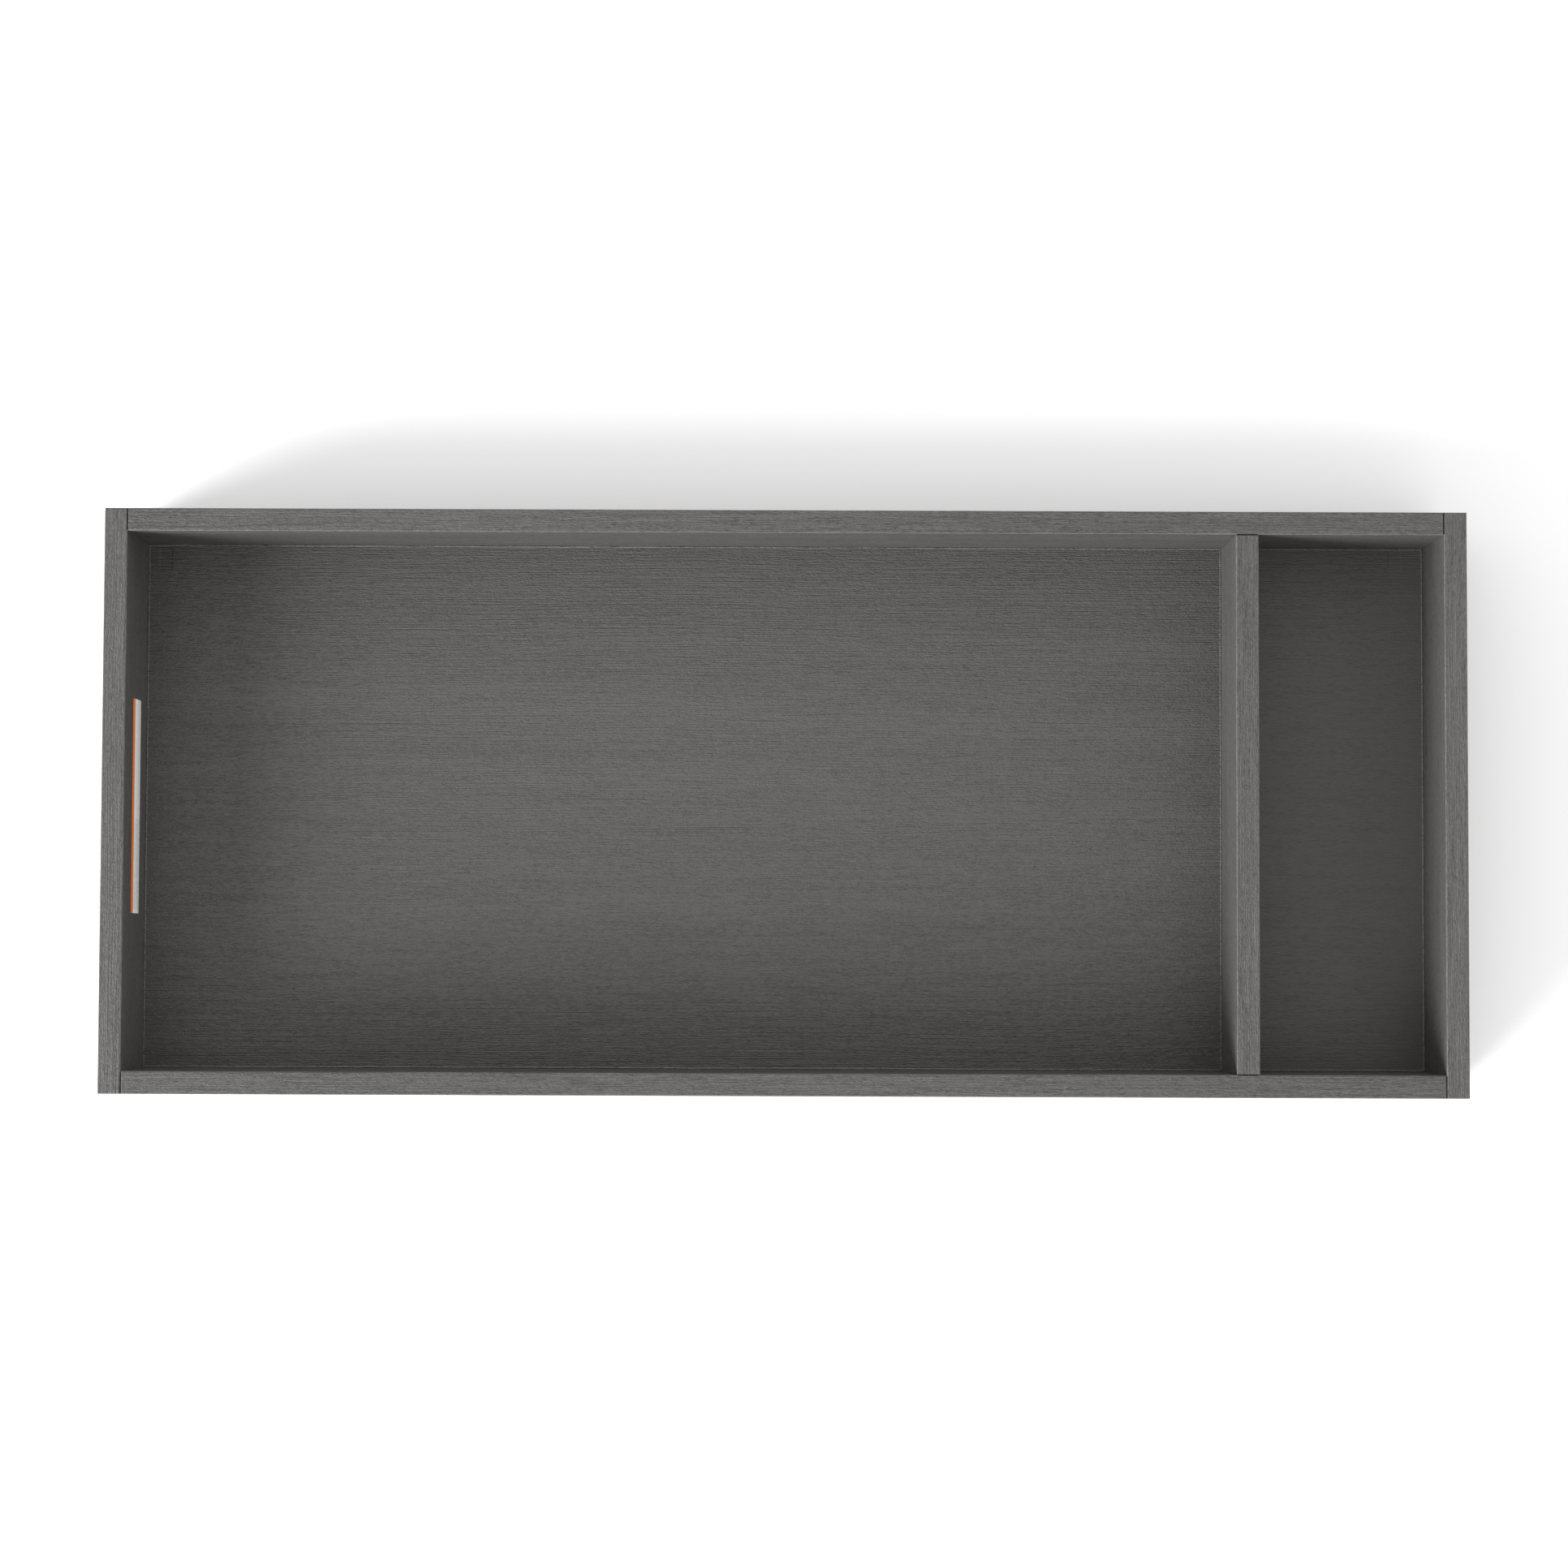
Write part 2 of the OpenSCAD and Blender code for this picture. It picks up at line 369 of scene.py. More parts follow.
@dataclass(frozen=True)
class Seam:
    """A joint drawn dark, with painted shade of its crevice and stain collected in it, the same on
    every side of the tray's middle.

    Attributes:
        x: Least and greatest distance from the middle along the tray, in millimetres.
        y: Least and greatest distance along its depth.
        both_ends: Whether the seam is at both ends of the tray, and not only at the right.
    """

    x: tuple[float, float]
    y: tuple[float, float]
    both_ends: bool = True


@dataclass(frozen=True)
class Lip:
    """The edge of a base panel, drawn as a pale line that is a painted highlight of its eased edge.

    Attributes:
        middle: The panel's middle along the tray, in millimetres.
        half_length: Half its length.
        half_depth: Half its depth.
        width: Width of the pale line.
        thin: Strength of the line between its beads.
    """

    middle: float
    half_length: float
    half_depth: float
    width: float = 1.25
    thin: float = 0.4


@dataclass(frozen=True)
class StainedOak:
    """Open-pored oak under a charcoal stain and a satin lacquer, figured through its solid.

    Attributes:
        name: The material's name.
        grain: The way that the grain runs.
        stain: The wood's mean colour.
        figure: Strength of the grain's light and dark lines.
        banding: Share of the broad bands in the figure.
        relief: Depth of the ridges and the open pores, in millimetres.
        polish: The lacquer's roughness.
        wear_and_highlight: How much the edges are lightened: stain worn thin, and a painted highlight
            on the rounded arrises.
        seed: Shift that makes one piece's figure unlike the next.
        marks: Faint lines across the grain.
        seams: Joints that run over or along the piece, drawn dark with painted crevice shade and
            collected stain.
        lip: The pale edge all round, on a base panel: a painted highlight.
    """

    name: str
    grain: Grain
    stain: Colour = (0.0610, 0.0583, 0.0554)
    figure: float = 1.0
    banding: float = 0.60
    relief: float = 0.10
    polish: float = 0.46
    wear_and_highlight: float = 1.0
    seed: float = 0.0
    marks: tuple[FaintLine, ...] = ()
    seams: tuple[Seam, ...] = ()
    lip: Optional[Lip] = None

    def make(self) -> bpy.types.Material:
        """Build the material.

        Returns:
            The material.
        """
        graph = Graph(self.name)
        x, y, z = graph.parts(graph.place())
        wood = self.through(graph, x, y, z)
        pits, crowds, dashes = (lines.draw(graph, wood, self.seed) for lines in (PORES, CROWDS, DASHES))
        pores = (pits + crowds).step(*PORE_EDGE)
        tone = BANDS.draw(graph, wood, self.seed) * self.banding + dashes
        for lines in (STREAKS, THREADS, SPECKS):
            tone = tone + lines.draw(graph, wood, self.seed)
        tone = tone - pores * PORE_DARK + MIDDLE_TONE
        colour = self.stained(graph, tone * self.figure + 0.5)
        # Edges lightened: stain worn thin, and a painted highlight on the rounded arrises.
        rubbed_and_highlit = self.rubbed_and_highlit(graph, wood) * (EDGE_WEAR_AND_HIGHLIGHT * self.wear_and_highlight)
        colour = graph.mix(rubbed_and_highlit, colour, tinted(self.stain, WORN_AND_HIGHLIT_SHARE))
        for mark in self.marks:
            colour = self.marked(graph, colour, x, y, mark)
        # A panel's lip: a pale line painted as the highlight of its eased edge.
        if self.lip:
            lip_highlight = self.lip_highlight(graph, x, y, z, self.lip)
            colour = graph.mix(lip_highlight, colour, tinted(self.stain, LIP_HIGHLIGHT_SHARE))
        # Seams drawn dark: painted shade of each joint's crevice, with stain collected in it.
        for seam in self.seams:
            shaded_and_stained_seam = self.shaded_and_stained_seam(graph, x, y, seam)
            colour = graph.mix(shaded_and_stained_seam, colour, tinted(self.stain, SEAM_SHADE_AND_STAIN_SHARE))
        relief = RIDGES.draw(graph, wood, self.seed) - pores * PORE_DEPTH
        for lines in (FURROWS, GRIT):
            relief = relief + lines.draw(graph, wood, self.seed)
        return graph.finish(
            Base_Color=colour,
            Roughness=self.polish + dashes * DASH_MATT + pores * PORE_MATT,
            Specular_IOR_Level=0.36,
            Sheen_Weight=0.02,
            Sheen_Roughness=0.5,
            Normal=graph.bump(relief, self.relief),
        )

    def through(self, graph: Graph, x: Field, y: Field, z: Field) -> Field:
        """Give the point in the wood's own axes: along the grain, then across it as it wanders."""
        run, side = (x, y) if self.grain is Grain.ALONG else (y, x)
        flat = graph.joined(run, side, z)
        wander = DRIFT.draw(graph, flat, self.seed) + RIPPLE.draw(graph, flat, self.seed)
        return graph.joined(run, side + wander, z + wander)

    def stained(self, graph: Graph, tone: Field) -> Field:
        """Give the stained wood's colour: neutral where dark and a little warmer where pale."""
        deep = tuple(level * share for level, share in zip(self.stain, DEEP_TINT))
        pale = tuple(level * share for level, share in zip(self.stain, PALE_TINT))
        return graph.mix(tone, deep, pale)

    def rubbed_and_highlit(self, graph: Graph, wood: Field) -> Field:
        """Give the mask of the lightened edges, worn stain and painted highlight, broken by the grain.
        """
        return (graph.arris() + CHIPS.draw(graph, wood, self.seed)).step(*WORN_AND_HIGHLIT_EDGE)

    def lip_highlight(self, graph: Graph, x: Field, y: Field, z: Field, lip: Lip) -> Field:
        """Give the mask of a panel's painted highlight along its edge, broken into beads by the grain.
        """
        rim = (abs(x - lip.middle) - lip.half_length).largest(abs(y) - lip.half_depth)
        point = graph.joined(x, y, z)
        beads = graph.cells(point, (2.4, 1.5, 2.4), detail=1.0, seed=self.seed + 23.0)
        line = rim.step(-lip.width - BLUR, -lip.width + BLUR)
        return line * (beads.step(*BEAD_EDGE) * (1.0 - lip.thin) + lip.thin)

    def shaded_and_stained_seam(self, graph: Graph, x: Field, y: Field, seam: Seam) -> Field:
        """Give the mask of one seam: painted shade of its crevice, and stain collected in it."""
        out = abs(x) if seam.both_ends else x
        return graph.within(out, *seam.x, BLUR) * graph.within(abs(y), *seam.y, BLUR)

    def marked(self, graph: Graph, colour: Field, x: Field, y: Field, mark: FaintLine) -> Field:
        """Draw one faint lighter or darker line over a colour."""
        across = abs(x - mark.x).step(mark.half_width + BLUR, mark.half_width - BLUR)
        middle, half = (mark.low + mark.high) / 2, (mark.high - mark.low) / 2
        along = abs(y - middle).step(half, half - mark.fade)
        line = across * along * mark.strength
        return graph.mix(line, colour, tinted(self.stain, 1.0 + mark.tone))


@dataclass(frozen=True)
class BeechDowel:
    """Plain beech, pale and close-grained with short darker flecks.

    Attributes:
        name: The material's name.
        grain: The way that the dowels lie.
    """

    name: str
    grain: Grain

    def make(self) -> bpy.types.Material:
        """Build the material."""
        graph = Graph(self.name)
        x, y, z = graph.parts(graph.place())
        wood = graph.joined(x, y, z) if self.grain is Grain.ALONG else graph.joined(y, x, z)
        fibres = graph.cells(wood, (22.0, 0.9, 0.9), detail=3.0, seed=2.0)
        flecks = graph.cells(wood, (3.0, 0.5, 0.5), detail=1.0, seed=4.0).step(0.10, 0.2)
        colour = graph.mix(fibres + 0.5, paint(176, 132, 92), paint(222, 184, 143))
        colour = graph.mix(flecks * 0.5, colour, paint(150, 100, 66))
        return graph.finish(
            Base_Color=colour,
            Roughness=0.62 + fibres * 0.2,
            Normal=graph.bump(fibres - flecks * 0.5, 0.06),
        )


@dataclass(frozen=True)
class ZincPlate:
    """Zinc-plated steel, with the plating's cloudy tone and the faint marks of forming.

    Attributes:
        name: The material's name.
        bright: Colour where the plating is clean.
        dull: Colour where it is thick or handled.
        polish: Mean roughness.
    """

    name: str
    bright: Colour
    dull: Colour
    polish: float

    def make(self) -> bpy.types.Material:
        """Build the material."""
        graph = Graph(self.name)
        point = graph.place()
        clouds = graph.cells(point, (3.2, 3.2, 3.2), detail=3.0, seed=1.0)
        specks = graph.cells(point, (0.35, 0.35, 0.35), detail=2.0, seed=6.0)
        edge = graph.arris().step(0.04, 0.26)
        colour = graph.mix(clouds * 1.6 + 0.5, self.dull, self.bright)
        colour = graph.mix(edge * 0.35, colour, tinted(self.bright, 1.12))
        return graph.finish(
            Base_Color=colour,
            Metallic=1.0,
            Roughness=self.polish + clouds * 0.24 + specks * 0.1,
            Normal=graph.bump(specks + clouds * 0.6, 0.012),
        )


@dataclass(frozen=True)
class PadRubber:
    """Dull rubber with a moulded stipple, paler where it has been pressed.

    Attributes:
        name: The material's name.
        colour: The rubber's mean colour.
    """

    name: str
    colour: Colour = (0.030, 0.030, 0.031)

    def make(self) -> bpy.types.Material:
        """Build the material."""
        graph = Graph(self.name)
        point = graph.place()
        stipple = graph.cells(point, (0.30, 0.30, 0.30), detail=1.0, seed=8.0)
        bloom = graph.cells(point, (4.0, 4.0, 4.0), detail=3.0, seed=9.0)
        scuffs = graph.arris().step(0.05, 0.28) * 0.3
        colour = graph.mix(bloom + 0.5, tinted(self.colour, 0.6), tinted(self.colour, 1.5))
        colour = graph.mix(scuffs, colour, tinted(self.colour, 3.0))
        return graph.finish(
            Base_Color=colour,
            Roughness=0.72 + bloom * 0.2,
            Specular_IOR_Level=0.3,
            Normal=graph.bump(stipple, 0.05),
        )


@dataclass(frozen=True)
class PrintedPaper:
    """Coated label paper with a colour band along its top and plain ruled lines below.

    Attributes:
        name: The material's name.
        top: Height of the label's top edge, in millimetres.
        foot: Height of its lower edge.
        near: Place of its near end along the tray's depth.
        far: Place of its far end.
        band: Height of the colour band.
        paper: Colour of the paper.
        ink: Colour of the band.
        rule: Colour of the ruled lines.
        close: Share of the label's length, from its near end, that is ruled closely.
        margin: Width of the plain paper at both ends.
        long_pitch: Distance between the long lines.
        short_pitch: Distance between the short, close ones.
        thick: Thickness of a line.
    """

    name: str
    top: float
    foot: float
    near: float
    far: float
    band: float = 7.5
    paper: Colour = paint(236, 236, 233)
    ink: Colour = paint(216, 112, 44)
    rule: Colour = paint(84, 84, 82)
    close: float = 0.45
    margin: float = 3.0
    long_pitch: float = 13.6
    short_pitch: float = 2.3
    thick: float = 0.5

    def make(self) -> bpy.types.Material:
        """Build the material."""
        graph = Graph(self.name)
        point = graph.place()
        _, y, z = graph.parts(point)
        pulp = graph.cells(point, (0.8, 0.8, 0.8), detail=3.0, seed=12.0)
        cloud = graph.cells(point, (24.0, 24.0, 24.0), detail=2.0, seed=14.0)
        sheet = graph.mix(pulp * 0.6 + cloud * 0.5 + 0.5, tinted(self.paper, 0.93), self.paper)
        split = self.near + (self.far - self.near) * self.close
        long_lines = self.lines(graph, z, self.long_pitch) * y.step(split, split + 1.0)
        short_lines = self.lines(graph, z, self.short_pitch) * y.step(split - 1.0, split - 2.0)
        breaks = graph.cells(point, (1.0, 2.2, 1.2), detail=1.0, seed=15.0).step(-0.14, 0.06)
        reach = (self.far - self.near) / 2 - self.margin
        inside = abs(y - (self.near + self.far) / 2).step(reach, reach - 0.6)
        ruled = (long_lines * 0.55 + short_lines * 0.8) * breaks * inside
        sheet = graph.mix(ruled, sheet, self.rule)
        inked = z.step(self.top - self.band - 0.15, self.top - self.band + 0.15)
        colour = graph.mix(inked, sheet, self.ink)
        colour = graph.mix(graph.arris().step(0.1, 0.3) * 0.6, colour, tinted(self.paper, 0.8))
        return graph.finish(
            Base_Color=colour,
            Roughness=0.40 + pulp * 0.2 - inked * 0.06,
            Normal=graph.bump(pulp * 0.4 + inked * 0.2, 0.03),
        )

    def lines(self, graph: Graph, z: Field, pitch: float) -> Field:
        """Rule lines of one pitch over the part below the band.

        Args:
            graph: The material's graph.
            z: Height over the frame's foot, in millimetres.
            pitch: Distance from line to line.

        Returns:
            The lines' mask.
        """
        first = self.foot + pitch / 2
        wrapped = graph.maths("PINGPONG", z - first, pitch / 2)
        band_foot = self.top - self.band
        below = z.step(band_foot - 0.8, band_foot - 1.2)
        return wrapped.step(self.thick * 0.6, self.thick * 0.4) * below


@dataclass(frozen=True)
class StudioFloor:
    """Matt pale floor of the studio.

    Attributes:
        name: The material's name.
        colour: The floor's colour.
    """

    name: str = "studio_floor"
    colour: Colour = (0.84, 0.84, 0.84)

    def make(self) -> bpy.types.Material:
        """Build the material."""
        graph = Graph(self.name)
        return graph.finish(Base_Color=self.colour, Roughness=0.9, Specular_IOR_Level=0.1)


# ----------------------------------------------------------------- making of pieces


def dress(node: str, finish: bpy.types.Material) -> None:
    """Give a node of the frame a finish, in every material slot of its object."""
    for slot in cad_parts[node].material_slots:
        slot.material = finish
    LOG.info("%s: %s", node, finish.name)


def ends(node: str) -> tuple[Vector, Vector]:
    """Give a node's lowest and highest corners, in metres."""
    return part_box(node)


def add_piece(
    name: str,
    shape: bmesh.types.BMesh,
    finish: bpy.types.Material,
    stands_for: Iterable[str],
) -> bpy.types.Object:
    """Turn a shape into a piece that rides on the tray.

    Args:
        name: The piece's name.
        shape: Its mesh, in place. It is freed.
        finish: Its material.
        stands_for: The frame's nodes that it stands for.

    Returns:
        The new object.
    """
    bmesh.ops.remove_doubles(shape, verts=shape.verts, dist=1e-6)
    bmesh.ops.recalc_face_normals(shape, faces=shape.faces)
    for face in shape.faces:
        face.smooth = True
    mesh = bpy.data.meshes.new(name)
    shape.to_mesh(mesh)
    shape.free()
    mesh.set_sharp_from_angle(angle=math.radians(CREASE))
    mesh.materials.append(finish)
    piece = bpy.data.objects.new(name, mesh)
    bpy.context.scene.collection.objects.link(piece)
    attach(piece, BODY)
    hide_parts(*stands_for)
    LOG.info("%s: %d faces", name, len(mesh.polygons))
    return piece


def turned(outline: Sequence[tuple[float, float]], closed: bool, steps: int) -> bmesh.types.BMesh:
    """Turn an outline about the Z axis, as on a lathe.

    Args:
        outline: Radius and height of each point, in metres.
        closed: Whether the last point joins the first.
        steps: Steps round the turn.

    Returns:
        The turned shape.
    """
    shape = bmesh.new()
    points = [shape.verts.new((radius, 0.0, height)) for radius, height in outline]
    edges = [shape.edges.new(pair) for pair in zip(points, points[1:])]
    if closed:
        edges.append(shape.edges.new((points[-1], points[0])))
    bmesh.ops.spin(
        shape,
        geom=points + edges,
        cent=(0.0, 0.0, 0.0),
        axis=(0.0, 0.0, 1.0),
        angle=2 * math.pi,
        steps=steps,
        use_merge=True,
    )
    bmesh.ops.remove_doubles(shape, verts=shape.verts, dist=1e-7)
    return shape


def soften(shape: bmesh.types.BMesh, width: float, segments: int) -> None:
    """Round over a shape's sharp edges.

    Args:
        shape: The shape.
        width: Width of the rounding, in metres.
        segments: Its segments.
    """
    limit = math.radians(CREASE)
    sharp = [edge for edge in shape.edges if edge.calc_face_angle(0.0) > limit]
    bmesh.ops.bevel(
        shape,
        geom=sharp,
        offset=width,
        offset_type="OFFSET",
        segments=segments,
        profile=0.5,
        affect="EDGES",
        material=-1,
        clamp_overlap=True,
    )


# -------------------------------------------------------------------- sub-assemblies


@dataclass
class Carcass:
    """The four boards round the tray and the one that divides its bays.

    Attributes:
        rails: Boards whose grain runs along the tray.
        crosses: Boards whose grain runs along its depth.
        shade_and_stain_half_width: Half width of a joint's dark line, painted crevice shade and
            collected stain, in millimetres.
        tuck: How far a seam stays short of the joint's inner edges.
    """

    rails: tuple[str, ...] = ("front_rail", "back_rail")
    crosses: tuple[str, ...] = ("left_end_board", "right_end_board", "divider_board")
    shade_and_stain_half_width: float = 0.6
    tuck: float = 0.8

    def seams(self) -> tuple[Seam, ...]:
        """Find the joints between the boards.

        Returns:
            The corner joints and the divider's, from the boards' own places.
        """
        end_face = ends(self.crosses[1])[0].x / MM
        rail_low, rail_high = ends(self.rails[1])
        left, right = ends(self.crosses[2])
        inner, outer = rail_low.y / MM, rail_high.y / MM
        corner = Seam((end_face - self.shade_and_stain_half_width, end_face + self.shade_and_stain_half_width), (inner + self.tuck, outer + 1.0))
        divider = Seam(
            (left.x / MM + self.tuck, right.x / MM - self.tuck),
            (inner - self.shade_and_stain_half_width, inner + self.shade_and_stain_half_width),
            both_ends=False,
        )
        return (corner, divider)

    def build(self) -> None:
        """Dress the boards."""
        board = {"figure": 0.85, "relief": 0.50, "seams": self.seams()}
        rail_oak = StainedOak("oak_rail", Grain.ALONG, **board).make()
        end_oak = StainedOak("oak_end", Grain.ACROSS, seed=41.0, **board).make()
        for node in self.rails:
            dress(node, rail_oak)
        for node in self.crosses:
            dress(node, end_oak)


@dataclass(frozen=True)
class Panel:
    """How one base panel shows its grain.

    Attributes:
        node: The panel's node.
        figure: Strength of the light and dark lines.
        banding: Share of the broad bands.
        relief: Depth of the relief, in millimetres.
    """

    node: str
    figure: float
    banding: float
    relief: float


@dataclass
class Bases:
    """The two base panels.

    Attributes:
        panels: The panels. The side bay's shows its grain less.
        marks: Faint lines across the grain, near the corners.
    """

    panels: tuple[Panel, ...] = (
        Panel("main_base_panel", figure=0.22, banding=1.25, relief=0.50),
        Panel("side_base_panel", figure=0.08, banding=0.60, relief=0.20),
    )
    marks: tuple[FaintLine, ...] = (
        FaintLine(x=-506.3, low=189.5, high=210.0, tone=0.45),
        FaintLine(x=-496.3, low=189.5, high=210.0, tone=-0.55),
        FaintLine(x=-506.3, low=-210.0, high=-203.0, tone=0.30),
        FaintLine(x=-496.3, low=-210.0, high=-203.0, tone=-0.45),
        FaintLine(x=497.8, low=194.0, high=210.0, tone=0.25),
        FaintLine(x=487.7, low=194.0, high=210.0, tone=-0.45),
    )

    def build(self) -> None:
        """Dress the panels."""
        for panel in self.panels:
            low, high = ends(panel.node)
            middle, half = (low + high) / 2 / MM, (high - low) / 2 / MM
            oak = StainedOak(
                panel.node.replace("_panel", "_oak"),
                Grain.ALONG,
                figure=panel.figure,
                banding=panel.banding,
                relief=panel.relief,
                seed=73.0,
                marks=self.marks,
                lip=Lip(middle.x, half.x, half.y),
            )
            dress(panel.node, oak.make())


@dataclass
class Underframe:
    """The cleats that carry the base panels, and the batten across the main bay.

    Attributes:
        bays: Names of the bays.
        along: Sides of a bay whose cleats run along the tray.
        across: Sides whose cleats run across it.
        batten: The batten's node.
    """

    bays: tuple[str, ...] = ("main", "side")
    along: tuple[str, ...] = ("front", "back")
    across: tuple[str, ...] = ("left", "right")
    batten: str = "cross_batten"

    def build(self) -> None:
        """Dress the cleats and the batten."""
        plain = {"figure": 1.3, "relief": 0.15, "polish": 0.58, "wear_and_highlight": 1.4}
        long_oak = StainedOak("oak_cleat_along", Grain.ALONG, seed=91.0, **plain).make()
        cross_oak = StainedOak("oak_cleat_across", Grain.ACROSS, seed=97.0, **plain).make()
        for bay in self.bays:
            for side in self.along:
                dress(f"{bay}_{side}_cleat", long_oak)
            for side in self.across:
                dress(f"{bay}_{side}_cleat", cross_oak)
        dress(self.batten, cross_oak)


@dataclass
class Joinery:
    """The dowels in the boards' joints.

    Attributes:
        along: Dowels that lie along the tray.
        across: Dowels that lie along its depth.
    """

    along: tuple[str, ...] = (
        "front_left_dowels",
        "back_left_dowels",
        "front_right_dowels",
        "back_right_dowels",
    )
    across: tuple[str, ...] = ("divider_front_dowels", "divider_back_dowels")

    def build(self) -> None:
        """Dress the dowels."""
        along = BeechDowel("beech_along", Grain.ALONG).make()
        across = BeechDowel("beech_across", Grain.ACROSS).make()
        for node in self.along:
            dress(node, along)
        for node in self.across:
            dress(node, across)


@dataclass
class Screws:
    """The screws of the cleats, the panels and the batten.

    Attributes:
        nodes: Their nodes.
    """

    nodes: tuple[str, ...] = ("cleat_screws", "main_panel_screws", "side_panel_screws", "batten_screws")

    def build(self) -> None:
        """Dress the screws."""
        zinc = ZincPlate("yellow_zinc", paint(222, 190, 110), paint(176, 138, 72), 0.34).make()
        for node in self.nodes:
            dress(node, zinc)


@dataclass
class Inserts:
    """The two threaded inserts in the back rail.

    Attributes:
        node: The node that they stand for.
        flange: Radius of the flange.
        flange_thick: Its thickness.
        body: Radius of the body.
        length: Length over all.
        crest: Radius of the thread's crests.
        root: Radius of its roots.
        pitch: The thread's pitch.
        flare: Width by which the mouth is wider than the thread.
        chamfer: Width of the chamfer round the flange.
    """

    node: str = "threaded_inserts"
    flange: float = 6.0 * MM
    flange_thick: float = 1.0 * MM
    body: float = 4.5 * MM
    length: float = 12.0 * MM
    crest: float = 2.5 * MM
    root: float = 2.95 * MM
    pitch: float = 1.0 * MM
    flare: float = 0.15 * MM
    chamfer: float = 0.35 * MM

    def outline(self) -> list[tuple[float, float]]:
        """Give the section of one insert, from its mouth round to its mouth.

        Returns:
            Radius and height of each point, with the mouth at height 0 and the rest below.
        """
        outside = [
            (self.root + self.flare, 0.0),
            (self.flange - self.chamfer, 0.0),
            (self.flange, -self.chamfer),
            (self.flange, -self.flange_thick),
            (self.body, -self.flange_thick),
            (self.body, -self.length),
            (self.root, -self.length),
        ]
        turns = round(self.length / self.pitch) - 1
        thread: list[tuple[float, float]] = []
        for turn in range(turns):
            low = -self.length + (turn + 0.5) * self.pitch
            thread += [(self.crest, low), (self.root, low + self.pitch / 2)]
        return outside + thread

    def build(self) -> None:
        """Turn the inserts and put them in their seats."""
        low, high = ends(self.node)
        zinc = ZincPlate("bright_zinc", paint(214, 216, 220), paint(160, 163, 168), 0.26).make()
        pair = bmesh.new()
        for x in (low.x + self.flange, high.x - self.flange):
            one = turned(self.outline(), closed=True, steps=48)
            seat = Matrix.Translation((x, high.y, (low.z + high.z) / 2))
            one.transform(seat @ Matrix.Rotation(-math.pi / 2, 4, "X"))
            part = bpy.data.meshes.new("insert_part")
            one.to_mesh(part)
            one.free()
            pair.from_mesh(part)
            bpy.data.meshes.remove(part)
        add_piece("threaded_insert_pair", pair, zinc, [self.node])


@dataclass
class Pads:
    """The six anti-slip pads under the boards.

    Attributes:
        nodes: Their nodes.
        rim: Width of the ring that stands on the floor.
        hollow: Depth of the hollow inside that ring.
        slope: Width of the slope down to the ring.
        rounding: Width of its edges' rounding.
    """

    nodes: tuple[str, ...] = (
        "front_left_pad",
        "back_left_pad",
        "front_right_pad",
        "back_right_pad",
        "front_middle_pad",
        "back_middle_pad",
    )
    rim: float = 1.9 * MM
    hollow: float = 0.35 * MM
    slope: float = 0.3 * MM
    rounding: float = 0.14 * MM

    def build(self) -> None:
        """Turn the pads and put them in place."""
        rubber = PadRubber("pad_rubber").make()
        for node in self.nodes:
            low, high = ends(node)
            radius, thick = (high.x - low.x) / 2, high.z - low.z
            inner = radius - self.rim
            outline = [
                (0.0, self.hollow),
                (inner - self.slope, self.hollow),
                (inner, 0.0),
                (radius - 0.15 * MM, 0.0),
                (radius, 0.5 * thick),
                (radius - 0.1 * MM, thick),
                (0.0, thick),
            ]
            shape = turned(outline, closed=False, steps=56)
            soften(shape, self.rounding, segments=3)
            middle = (low + high) / 2
            bmesh.ops.translate(shape, verts=shape.verts, vec=(middle.x, middle.y, low.z))
            add_piece(node.replace("_pad", "_bumper"), shape, rubber, [node])


@dataclass
class ContentsLabel:
    """The write-on label inside the left end board.

    Attributes:
        node: The node that it stands for.
        corner: Radius of its corners.
        pieces: Strips that its length is cut into.
    """

    node: str = "contents_label"
    corner: float = 0.9 * MM
    pieces: int = 24

    def build(self) -> None:
        """Cut the label out and print it."""
        low, high = ends(self.node)
        size, middle = high - low, (low + high) / 2
        shape = bmesh.new()
        bmesh.ops.create_cube(shape, size=1.0)
        bmesh.ops.scale(shape, verts=shape.verts, vec=size)
        corners = [e for e in shape.edges if abs(e.verts[0].co.x - e.verts[1].co.x) > size.x / 2]
        bmesh.ops.bevel(
            shape,
            geom=corners,
            offset=self.corner,
            offset_type="OFFSET",
            segments=5,
            profile=0.5,
            affect="EDGES",
            material=-1,
        )
        soften(shape, size.x * 0.3, segments=2)
        for cut in range(1, self.pieces):
            bmesh.ops.bisect_plane(
                shape,
                geom=list(shape.verts) + list(shape.edges) + list(shape.faces),
                plane_co=(0.0, -size.y / 2 + size.y * cut / self.pieces, 0.0),
                plane_no=(0.0, 1.0, 0.0),
            )
        bmesh.ops.translate(shape, verts=shape.verts, vec=middle)
        printed = PrintedPaper("label_paper", high.z / MM, low.z / MM, low.y / MM, high.y / MM).make()
        add_piece("contents_sticker", shape, printed, [self.node])


# ---------------------------------------------------------------------------- studio


@dataclass(frozen=True)
class SoftLight:
    """A round soft light that faces the tray's middle.

    Attributes:
        name: Its name.
        azimuth: Its bearing from the left end, towards the front, in degrees.
        elevation: Its height above the floor, in degrees.
        power: Its power in watts.
        distance: Its distance from the tray's middle.
        width: Diameter of its disk.
    """

    name: str
    azimuth: float
    elevation: float
    power: float
    distance: float = 6.5
    width: float = 4.2

    def hang(self) -> None:
        """Hang the light."""
        bearing, rise = math.radians(self.azimuth), math.radians(self.elevation)
        level = math.cos(rise)
        way = Vector((-math.cos(bearing) * level, -math.sin(bearing) * level, math.sin(rise)))
        lamp = bpy.data.lights.new(self.name, "AREA")
        lamp.shape = "DISK"
        lamp.size = self.width
        lamp.energy = self.power
        light = bpy.data.objects.new(self.name, lamp)
        light.location = way * self.distance
        light.rotation_euler = (-way).to_track_quat("-Z", "Y").to_euler()
        bpy.context.scene.collection.objects.link(light)


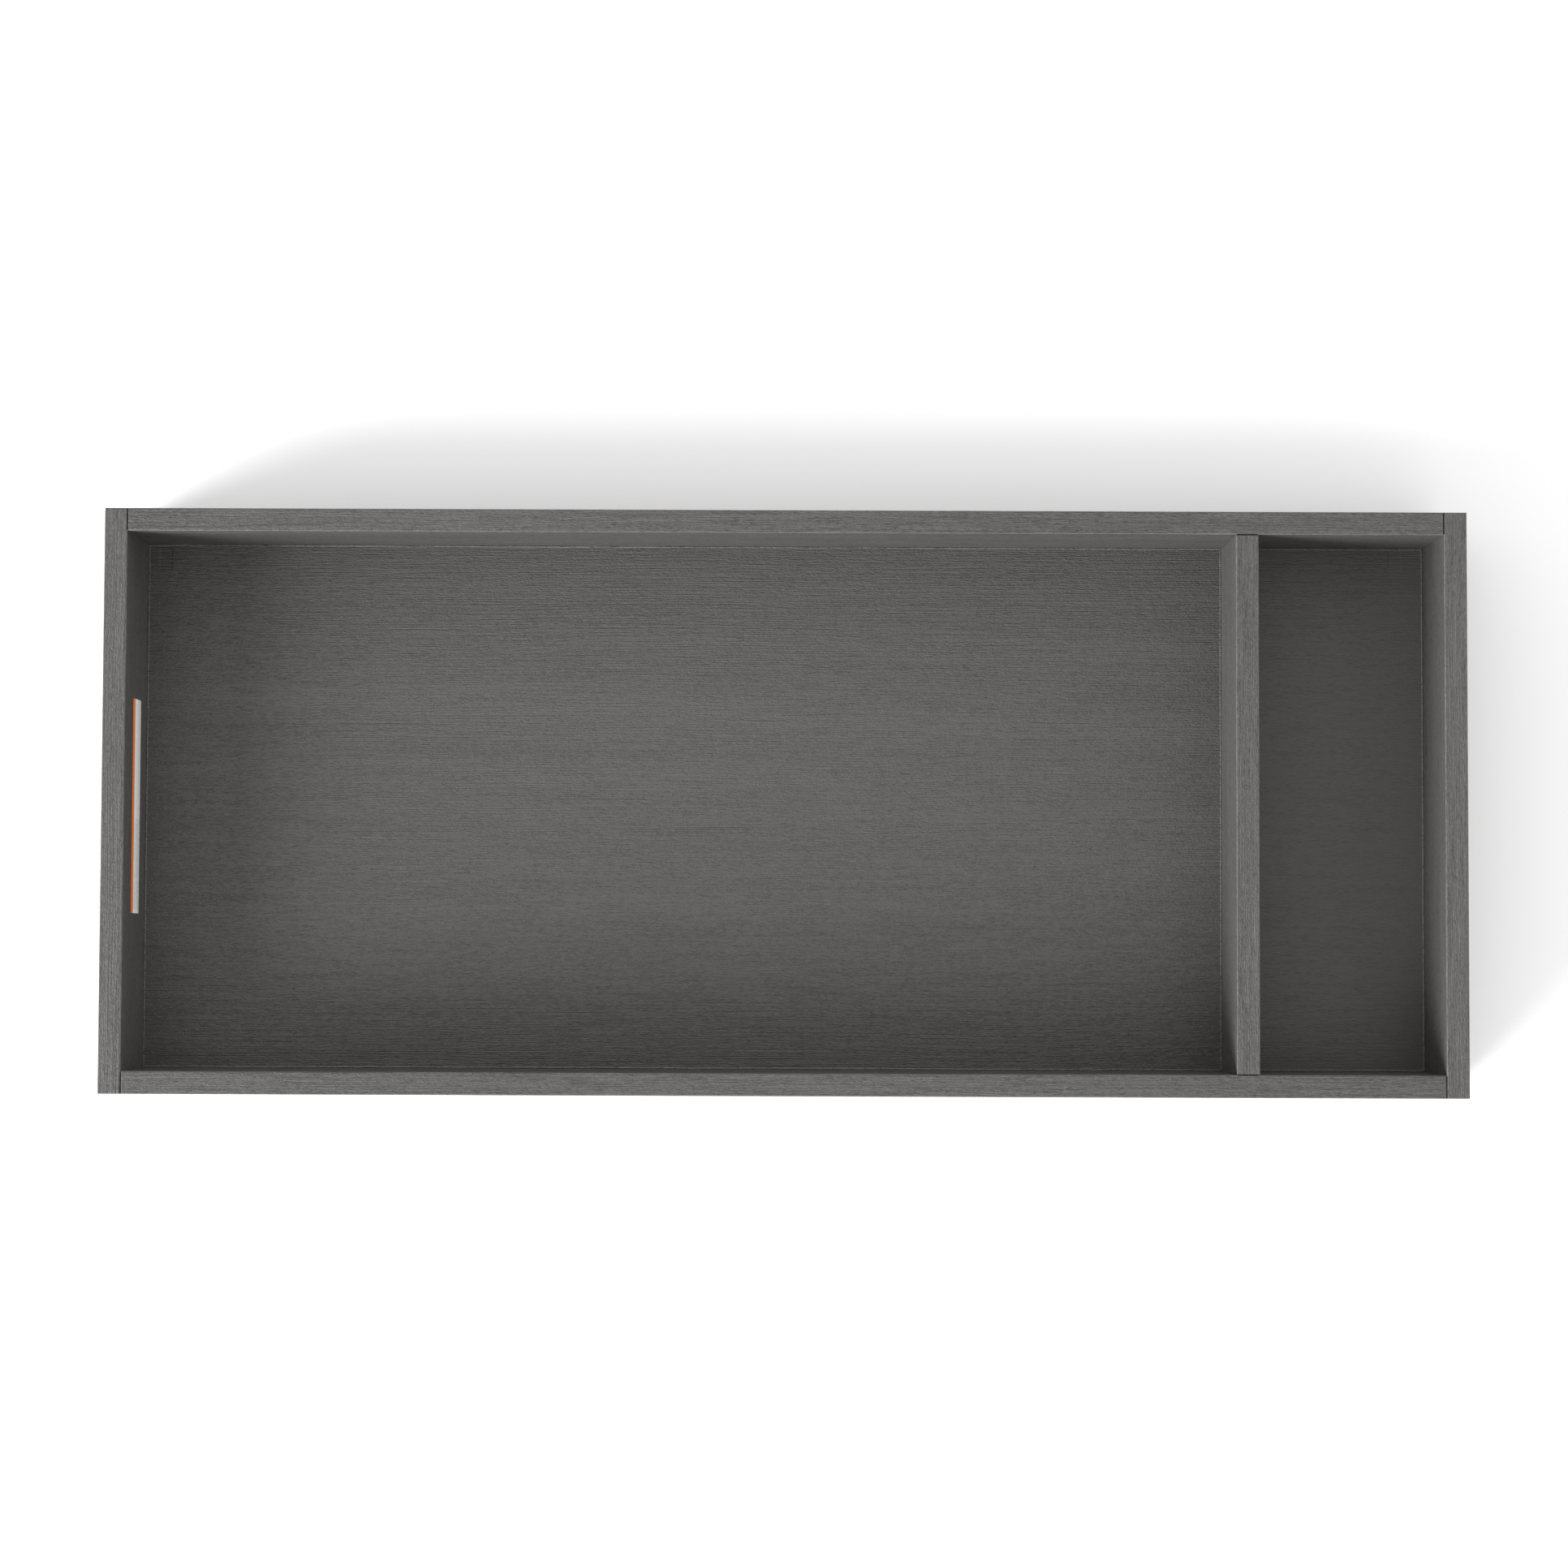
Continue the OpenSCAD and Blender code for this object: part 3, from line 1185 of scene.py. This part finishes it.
@dataclass
class Studio:
    """The floor, the soft light and the camera.

    Attributes:
        floor_side: Side of the square floor.
        sky: Strength of the even light from all round.
        lights: The soft lights.
        eye: The camera's place.
        turn: The camera's turn about X, Y and Z, in degrees.
        lens: Its focal length in millimetres, on a sensor 36 mm wide.
    """

    floor_side: float = 14.0
    sky: float = 1.20
    lights: tuple[SoftLight, ...] = (
        SoftLight("key_light", azimuth=34.0, elevation=22.0, power=930.0),
        SoftLight("fill_light", azimuth=184.0, elevation=10.0, power=120.0),
    )
    eye: Triple = (-0.00005, -0.11736, 2.80749)
    turn: Triple = (2.7944, 0.0011, 0.2082)
    lens: float = 79.34

    def build(self) -> None:
        """Set up the whole studio."""
        self.floor()
        self.light()
        self.camera()
        bpy.context.scene.view_settings.view_transform = "Standard"

    def floor(self) -> None:
        """Lay the floor."""
        shape = bmesh.new()
        bmesh.ops.create_grid(shape, x_segments=1, y_segments=1, size=self.floor_side / 2)
        mesh = bpy.data.meshes.new("studio_floor")
        shape.to_mesh(mesh)
        shape.free()
        mesh.materials.append(StudioFloor().make())
        ground = bpy.data.objects.new("studio_floor", mesh)
        bpy.context.scene.collection.objects.link(ground)

    def light(self) -> None:
        """Hang the soft lights and set the even light from all round."""
        for light in self.lights:
            light.hang()
        world = bpy.data.worlds.new("studio_light")
        world.use_nodes = True
        sky = world.node_tree.nodes["Background"]
        sky.inputs["Color"].default_value = (1.0, 1.0, 1.0, 1.0)
        sky.inputs["Strength"].default_value = self.sky
        bpy.context.scene.world = world

    def camera(self) -> None:
        """Put up the camera, almost straight above the tray."""
        data = bpy.data.cameras.new("studio_camera")
        data.lens = self.lens
        data.sensor_width = 36.0
        camera = bpy.data.objects.new("studio_camera", data)
        camera.location = self.eye
        camera.rotation_euler = Euler([math.radians(angle) for angle in self.turn])
        bpy.context.scene.collection.objects.link(camera)
        bpy.context.scene.camera = camera


def main() -> None:
    """Build the studio, dress the frame and add the pieces."""
    logging.basicConfig(level=logging.INFO, format="%(message)s")
    parts = (
        Studio(),
        Carcass(),
        Bases(),
        Underframe(),
        Joinery(),
        Screws(),
        Inserts(),
        Pads(),
        ContentsLabel(),
    )
    for part in parts:
        part.build()
        LOG.info("%s done", type(part).__name__)


if __name__ == "__main__":
    main()
